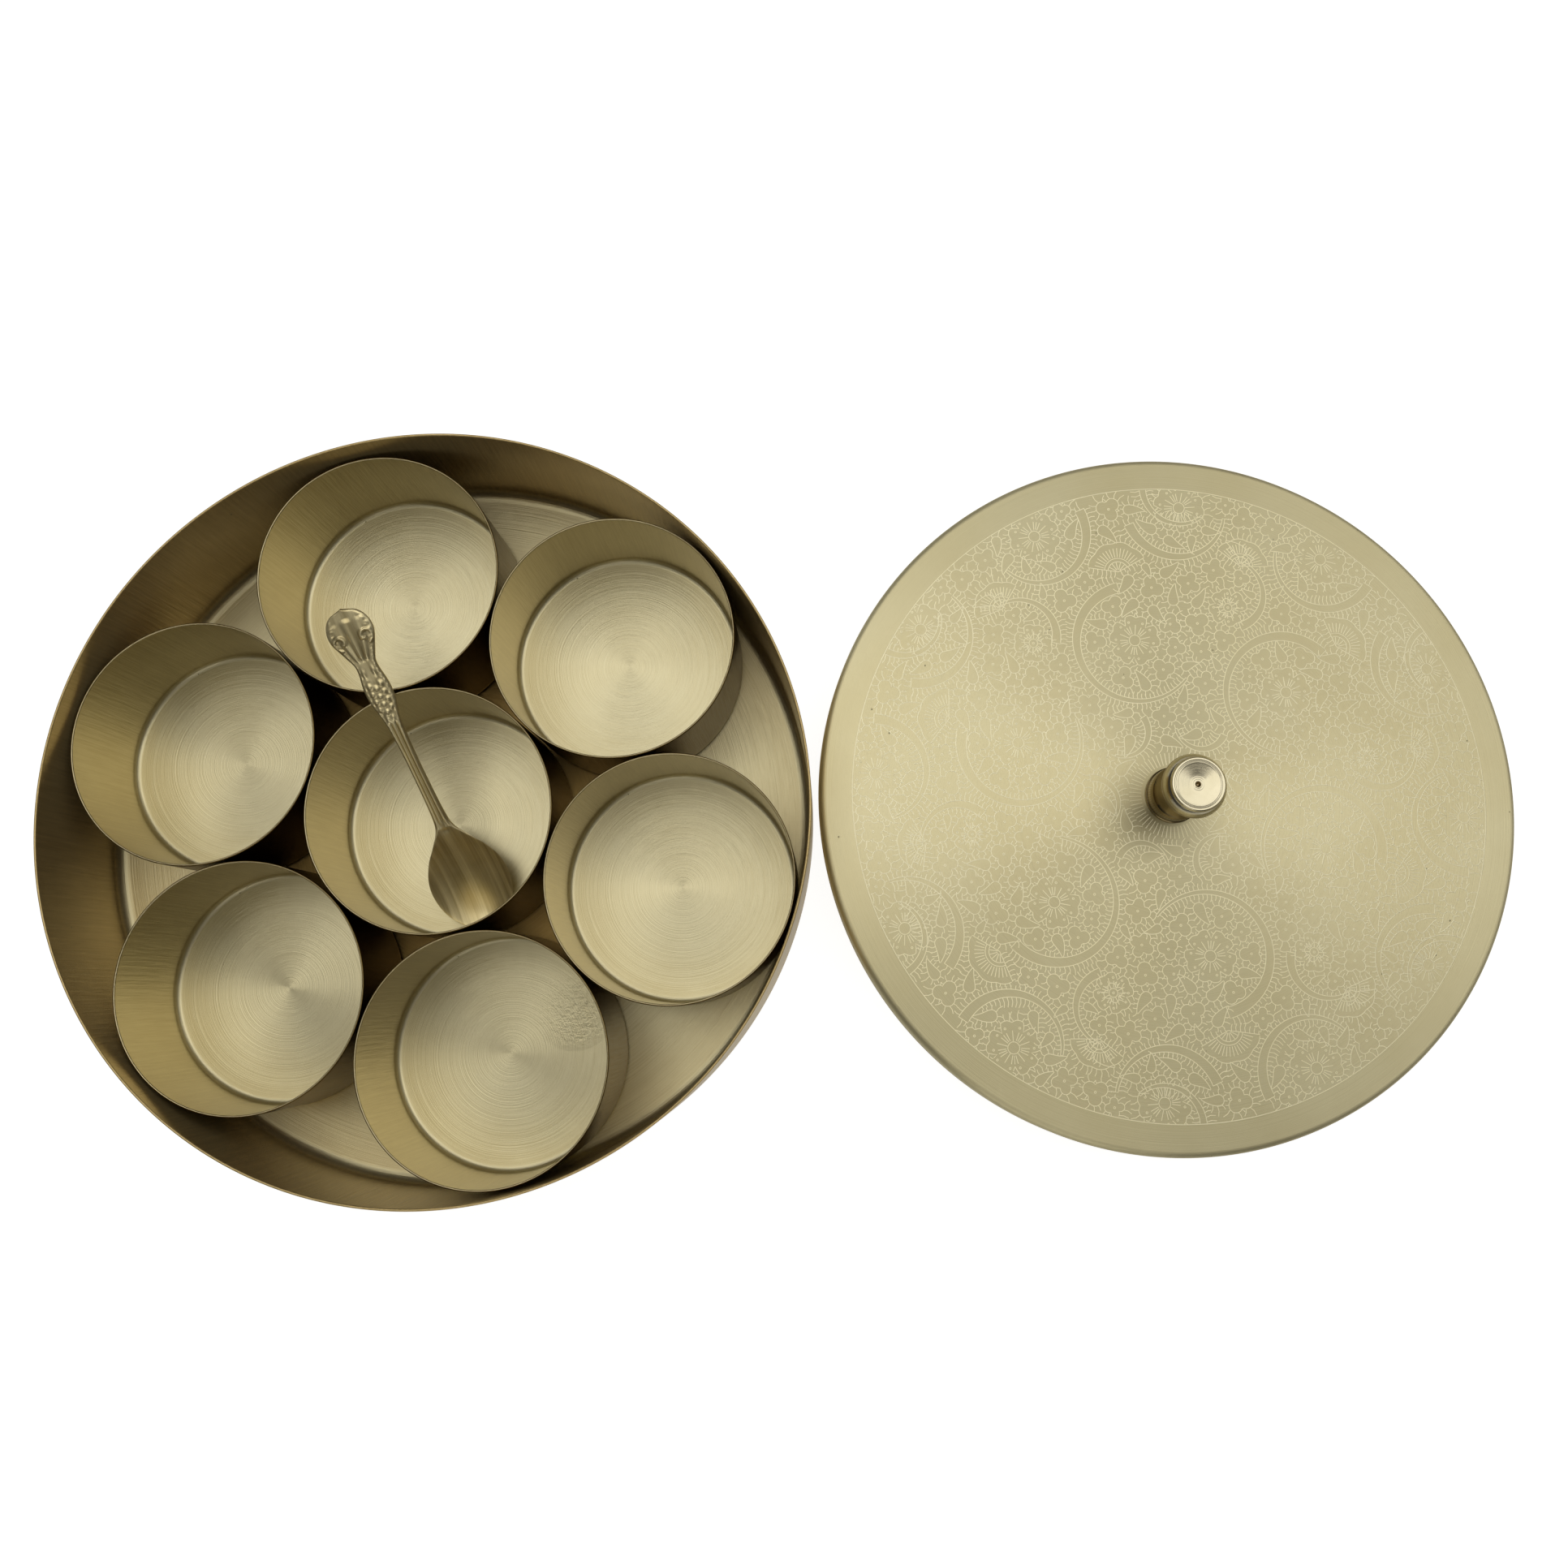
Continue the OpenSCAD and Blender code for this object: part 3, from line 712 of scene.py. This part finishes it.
while room.max() > narrowest_space:
    best = int(room.argmax())
    x, y = spaces[best]
    turn = 2.4 * leaf_count
    if room[best] > lobed_space:
        leaf = [closed_curve(lobes(3 + leaf_count % 2), min(room[best] - 1.1, 4.2)), leaf_dot]
    else:
        leaf = [curl(min((room[best] - 0.9) * 0.72, 2.1), 0.10 if leaf_count % 2 else -0.10)]
    leaf = [moved(line, x, y, turn) for line in leaf]
    motifs.append(leaf)
    added = np.concatenate([filled(moved(leaf[0], 0, 0, k * SIXTH)) for k in (-1, 0, 1)])
    room = np.minimum(room, nearest(spaces, added))
    room[np.hypot(*(spaces - (x, y)).T) < 1.0 + max(np.hypot(*(leaf[0] - (x, y)).T))] = 0
    leaf_count += 1


def hatch_strokes(motifs, spacing=1.45, longest=3.2):
    """Short strokes that stand on the outline of every motif and reach out to half way towards
    the next outline: a stroke is drawn as far as its own outline is still the nearest one."""
    outlines = [filled(moved(m[0], 0, 0, k * SIXTH), 0.3) for m in motifs for k in (-1, 0, 1)]
    outlines = np.concatenate(outlines)
    feet, ways = [], []
    for m in motifs:
        line = m[0]
        step = np.linalg.norm(np.diff(line, axis=0), axis=1)
        run = np.concatenate([[0], np.cumsum(step)])
        where = np.arange(spacing / 2, run[-1], spacing)
        foot = np.stack([np.interp(where, run, line[:, i]) for i in (0, 1)], -1)
        ahead = np.stack([np.interp(where + 0.2, run, line[:, i]) for i in (0, 1)], -1) - foot
        area = np.sum(line[:-1, 0] * line[1:, 1] - line[1:, 0] * line[:-1, 1])
        out = np.stack([ahead[:, 1], -ahead[:, 0]], -1) * (1 if area > 0 else -1)
        feet.append(foot)
        ways.append(out / np.maximum(np.linalg.norm(out, axis=1), 1e-9)[:, None])
    feet, ways = np.concatenate(feet), np.concatenate(ways)
    reach = np.zeros(len(feet))
    going = np.ones(len(feet), bool)
    for t in np.arange(0.4, longest, 0.2):
        tips = feet + ways * t
        clear = nearest(tips, outlines) > 0.86 * t - 0.06
        going &= clear & (np.hypot(*tips.T) < FIELD_RADIUS - 0.1) & (np.hypot(*tips.T) > FIELD_INNER)
        reach[going] = t
    long_enough = reach > 0.7
    feet, ways, reach = feet[long_enough], ways[long_enough], reach[long_enough, None] + 0.12
    aside = np.stack([-ways[:, 1], ways[:, 0]], -1)
    return np.stack([feet, feet + ways * reach * 0.5 + aside * reach * 0.10, feet + ways * reach], 1)


def cut_strips(name, bundles, z, place, half_width=0.155, proud=0.02, deep=0.005):
    """Etched lines as thin closed strips. A bundle is an array of lines with the same number of
    points; each point gives a left edge and a right edge, sunk by deep, and a ridge between them that
    stands proud, and the strip's two ends are closed."""
    points, quads, tips, first = [], [], [], 0
    for lines in bundles:
        along = np.gradient(lines, axis=1)
        along /= np.maximum(np.linalg.norm(along, axis=2), 1e-9)[..., None]
        side = np.stack([-along[..., 1], along[..., 0]], -1) * half_width
        rows = np.zeros(lines.shape[:2] + (3, 3))
        rows[..., 0, :2], rows[..., 1, :2], rows[..., 2, :2] = lines + side, lines, lines - side
        rows[..., 0, 2] = rows[..., 2, 2] = z - deep
        rows[..., 1, 2] = z + proud
        count, steps = lines.shape[:2]
        base = first + (np.arange(count)[:, None] * steps + np.arange(steps - 1)) * 3
        for a, b in ((0, 1), (1, 2), (2, 0)):
            side_quads = np.stack([base + a, base + b, base + 3 + b, base + 3 + a], -1)
            quads.append(side_quads.reshape(-1, 4)[:, ::-1])
        starts = first + np.arange(count) * steps * 3
        ends = starts + (steps - 1) * 3
        tips += [np.stack([starts, starts + 1, starts + 2], -1), np.stack([ends, ends + 2, ends + 1], -1)]
        points.append(rows.reshape(-1, 3))
        first += count * steps * 3
    faces = [np.concatenate(quads), np.concatenate(tips)]
    return mesh_piece(name, np.concatenate(points) * MM, faces, {}, place, smooth=False)


ray_start, ray_end, ray_count = 10.0, 13.9, 60


def in_bundles(lines):
    """Lines sorted into arrays of equal length, cut off where they leave the etched field or
    reach the knob's foot."""
    kept = {}
    for line in lines:
        far = np.hypot(*line.T)
        ok = (far < FIELD_RADIUS) & (far > ray_start - 0.8)
        edges = np.flatnonzero(np.diff(np.concatenate([[0], ok.astype(int), [0]])))
        for a, b in zip(edges[::2], edges[1::2]):
            if b - a > 1:
                kept.setdefault(b - a, []).append(line[a:b])
    return [np.array(group) for group in kept.values()]


outline_lines = six_times([line for m in motifs for line in m])
ring_t = np.linspace(0, 2 * math.pi, 361)
outline_lines.append((FIELD_RADIUS - 0.05) * np.stack([np.cos(ring_t), np.sin(ring_t)], -1))
knob_rays = [np.array([[r * math.cos(a), r * math.sin(a)] for r in (ray_start, ray_end)])
             for a in np.arange(ray_count) * 2 * math.pi / ray_count]
hatch_lines = six_times(list(hatch_strokes(motifs)))
etchings = []
for name, lines in (("etched_motifs", outline_lines + knob_rays), ("etched_hatch", hatch_lines)):
    etching = cut_strips(name, in_bundles(lines), lid_height, on_lid)
    etchings.append(etching)
    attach(etching, "lid")
etched, add = new_material("etched_brass")
cloud = add("TexNoise", Vector=add("TexCoord").outputs["Object"], Scale=60.0, Detail=3.0)
tone = add("Mix", data_type="RGBA", Factor=cloud.outputs["Fac"], i6=(0.85, 0.78, 0.52, 1),
           i7=(0.97, 0.90, 0.63, 1))
shader = add("BsdfPrincipled", Base_Color=tone.outputs[2], Metallic=1.0, Roughness=0.5)
add("OutputMaterial", Surface=shader.outputs[0])
for etching in etchings:
    etching.data.materials.append(etched)


# The knob: turned from brass bar and polished bright, with a bead round its head, fine grooves
# and a shallow dish in its top, and a centre hole. The stud screws into it from under the lid.
knob_height, foot_radius, body_radius = 25.0, 9.0, 8.6
head_radius, head_bead, head_z, top_radius = 10.0, 2.2, 20.7, 8.3
cove_radius, cove_z, waist_radius = 8.8, 12.5, 6.4
stud_radius, stud_depth = 3.0, 12.5


def arc(centre_r, centre_z, radius, start, end, steps):
    """Outline points on an arc about a centre, from one angle to another in degrees."""
    a = np.radians(np.linspace(start, end, steps))
    return np.stack([centre_r + radius * np.cos(a), centre_z + radius * np.sin(a)], -1)


def grooved(start_r, end_r, z, count, depth, steps=6):
    """A flat ring cut with fine round grooves: z drops by depth in the middle of each groove."""
    r = np.linspace(start_r, end_r, count * steps + 1)
    dip = depth * (0.5 - 0.5 * np.cos(2 * math.pi * count * (r - start_r) / (end_r - start_r)))
    return np.stack([r, z - dip], -1)


cove_centre = waist_radius + cove_radius
cove_swing = math.degrees(math.acos((cove_centre - body_radius) / cove_radius))
dish_outer, dish_inner, dish_drop = 6.6, 2.4, 0.7
dished_r = np.linspace(dish_outer, dish_inner, 15)
dished_z = knob_height - 0.05 - dish_drop * (dish_outer - dished_r) / (dish_outer - dish_inner)
knob_outline = np.concatenate([
    [(stud_radius + 0.1, 0), (foot_radius - 0.3, 0)], arc(foot_radius - 0.3, 0.3, 0.3, -90, 0, 5),
    arc(foot_radius - 0.35, 1.45, 0.35, 0, 90, 5), [(body_radius + 0.08, 1.8), (body_radius, 1.95)],
    [(body_radius, 3.6)],
    arc(cove_centre, cove_z, cove_radius, 180 + cove_swing, 180 - cove_swing, 30),
    [(body_radius, head_z - head_bead - 0.12), (body_radius - 0.10, head_z - head_bead - 0.04)],
    arc(head_radius - head_bead, head_z, head_bead, -72, 10, 12),
    arc(head_radius - 5.2, head_z - 0.4, 5.2, 9, 46, 12),
    arc(top_radius - 0.35, knob_height - 0.35, 0.35, 20, 90, 6),
    grooved(7.6, 6.75, knob_height, 2, 0.08), np.stack([dished_r, dished_z], -1),
    grooved(2.3, 1.1, knob_height - 0.75, 2, 0.05),
    arc(0.9, knob_height - 0.87, 0.12, 90, 180, 4), [(0.75, knob_height - 1.6), (0, knob_height - 1.9)]])
bore = np.array([(0, stud_depth), (stud_radius + 0.1, stud_depth - 0.4)])
knob_outline = np.concatenate([bore, knob_outline])
on_plate = on_lid @ Matrix.Translation((0, 0, lid_height * MM))
knob = turned("turned_knob", knob_outline, on_plate, turns=128)
polished, add = new_material("polished_brass")
film = add("TexNoise", Vector=add("TexCoord").outputs["Object"], Scale=220.0, Detail=4.0)
lathe = add("SeparateXYZ", Vector=add("UVMap", uv_map="turned").outputs[0])
line_u = add("Math", operation="MULTIPLY", i0=lathe.outputs[0], i1=900.0)
fine = add("TexNoise", Vector=add("CombineXYZ", X=line_u.outputs[0]).outputs[0], Scale=1.0, Detail=2.0)
tone = add("Mix", data_type="RGBA", Factor=film.outputs["Fac"], i6=(0.52, 0.46, 0.30, 1),
           i7=(0.72, 0.65, 0.46, 1))
# the top of the head is bright; the side has tarnished brown, and the centre hole is darkened as painted
# shade
run = np.concatenate([[0], np.cumsum(np.linalg.norm(np.diff(knob_outline, axis=0), axis=1))]) / 100
head_run, hole_run = run[np.flatnonzero(knob_outline[:, 1] > head_z)[0]], run[-1] - 0.020
on_head = add("MapRange", Value=lathe.outputs[0], From_Min=head_run, From_Max=head_run + 0.012)
off_hole = add("MapRange", Value=lathe.outputs[0], From_Min=hole_run, From_Max=hole_run + 0.004,
               To_Min=1, To_Max=0)
bright = add("Math", operation="MULTIPLY", i0=on_head.outputs[0], i1=off_hole.outputs[0])
tarnish_and_hole_shade = add("Mix", data_type="RGBA", Factor=bright.outputs[0], i6=(0.26, 0.20, 0.10, 1), i7=tone.outputs[2])
gloss = add("MapRange", Value=film.outputs["Fac"], From_Min=0.3, From_Max=0.8, To_Min=0.10, To_Max=0.24)
dents = add("Bump", Strength=0.06, Distance=0.0003, Height=fine.outputs["Fac"])
shader = add("BsdfPrincipled", Base_Color=tarnish_and_hole_shade.outputs[2], Metallic=1.0, Roughness=gloss.outputs[0],
             Normal=dents.outputs[0])
add("OutputMaterial", Surface=shader.outputs[0])
knob.data.materials.append(polished)
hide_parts("knob")
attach(knob, "lid")


# Stud, washer and nut: plain steel. The M6 stud is screwed up into the knob through the lid's
# hole, and the washer and the hexagon nut under the lid clamp the two together.
stud_drop = (lid_radius - stud_radius) * math.tan(lid_tilt)
stud_length, thread_pitch, thread_depth = 25.0, 1.0, 0.5


def threaded(name, radius, length, base_z, place, turns=40, rows_per_mm=8):
    """A threaded rod: at angle a and height h its radius is radius less thread_depth times a
    triangle wave of h / pitch - a / turn; both ends are bevelled and closed."""
    h = np.linspace(0, length, int(length * rows_per_mm) + 1)[:, None]
    a = (np.arange(turns) * 2 * math.pi / turns)[None, :]
    wave = np.abs(((h / thread_pitch - a / (2 * math.pi)) % 1) * 2 - 1)
    bevel = np.clip(np.minimum(h, length - h) + radius - 0.8, 0, radius)
    r = np.minimum(radius - thread_depth * wave, bevel)
    ring = np.stack([r * np.cos(a), r * np.sin(a), base_z + h + 0 * a], -1)
    points = np.concatenate([ring.reshape(-1, 3), [[0, 0, base_z], [0, 0, base_z + length]]]) * MM
    row = np.arange(len(h) - 1)[:, None]
    k = np.arange(turns)[None, :]
    nxt = (k + 1) % turns
    quads = np.stack([row * turns + k, row * turns + nxt, (row + 1) * turns + nxt, (row + 1) * turns + k], -1)
    last = (len(h) - 1) * turns
    tip = np.full(turns, len(h) * turns)
    ends = [np.stack([tip, nxt[0], k[0]], -1),
            np.stack([tip + 1, last + k[0], last + nxt[0]], -1)]
    return mesh_piece(name, points, [quads.reshape(-1, 4)] + ends, {}, place)


stud = threaded("threaded_stud", stud_radius, stud_length, -stud_drop, on_lid)
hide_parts("knob_stud")

washer_outer, washer_thick = 7.0, 1.0
washer_top = plate
washer_outline = rounded([(stud_radius + 0.1, washer_top - washer_thick, 0),
                          (washer_outer, washer_top - washer_thick, 0.2), (washer_outer, washer_top, 0.2),
                          (stud_radius + 0.1, washer_top, 0)], 1.0, 4)
washer = turned("flat_washer", washer_outline, on_lid, turns=64, closed=True)
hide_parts("knob_washer")

nut_flats, nut_height = 10.0, 5.0
nut_top = washer_top - washer_thick


def hexagon_nut(name, place, per_side=10):
    """A nut: its outer radius at angle a is that of a hexagon, cut back at both faces by a cone."""
    z = np.array([0, 0, 0.35, 0.7, nut_height - 0.7, nut_height - 0.35, nut_height, nut_height])[:, None]
    a = (np.arange(6 * per_side) * 2 * math.pi / (6 * per_side))[None, :]
    hexagon = nut_flats / 2 / np.cos((a % SIXTH) - SIXTH / 2)
    cone = nut_flats / 2 * 0.97 + np.minimum(z, nut_height - z) * math.tan(math.radians(60))
    r = np.minimum(hexagon, cone)
    r[0] = r[-1] = stud_radius + 0.1
    turns, rows = a.shape[1], len(z)
    points = np.stack([r * np.cos(a), r * np.sin(a), nut_top - nut_height + z + 0 * a], -1) * MM
    row = np.arange(rows)[:, None]
    k = np.arange(turns)[None, :]
    nxt, up = (k + 1) % turns, (row + 1) % rows
    quads = np.stack([row * turns + k, row * turns + nxt, up * turns + nxt, up * turns + k], -1)
    return mesh_piece(name, points.reshape(-1, 3), [quads.reshape(-1, 4)], {}, place, smooth=False)


nut = hexagon_nut("hexagon_nut", on_lid)
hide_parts("knob_nut")
plain_steel, add = new_material("plain_steel")
haze = add("TexNoise", Vector=add("TexCoord").outputs["Object"], Scale=400.0, Detail=5.0)
tone = add("Mix", data_type="RGBA", Factor=haze.outputs["Fac"], i6=(0.42, 0.41, 0.39, 1),
           i7=(0.66, 0.65, 0.62, 1))
gloss = add("MapRange", Value=haze.outputs["Fac"], From_Min=0.3, From_Max=0.7, To_Min=0.28, To_Max=0.5)
dents = add("Bump", Strength=0.1, Distance=0.0002, Height=haze.outputs["Fac"])
shader = add("BsdfPrincipled", Base_Color=tone.outputs[2], Metallic=1.0, Roughness=gloss.outputs[0],
             Normal=dents.outputs[0])
add("OutputMaterial", Surface=shader.outputs[0])
for piece in (stud, washer, nut):
    piece.data.materials.append(plain_steel)
    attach(piece, "lid")

low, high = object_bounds()
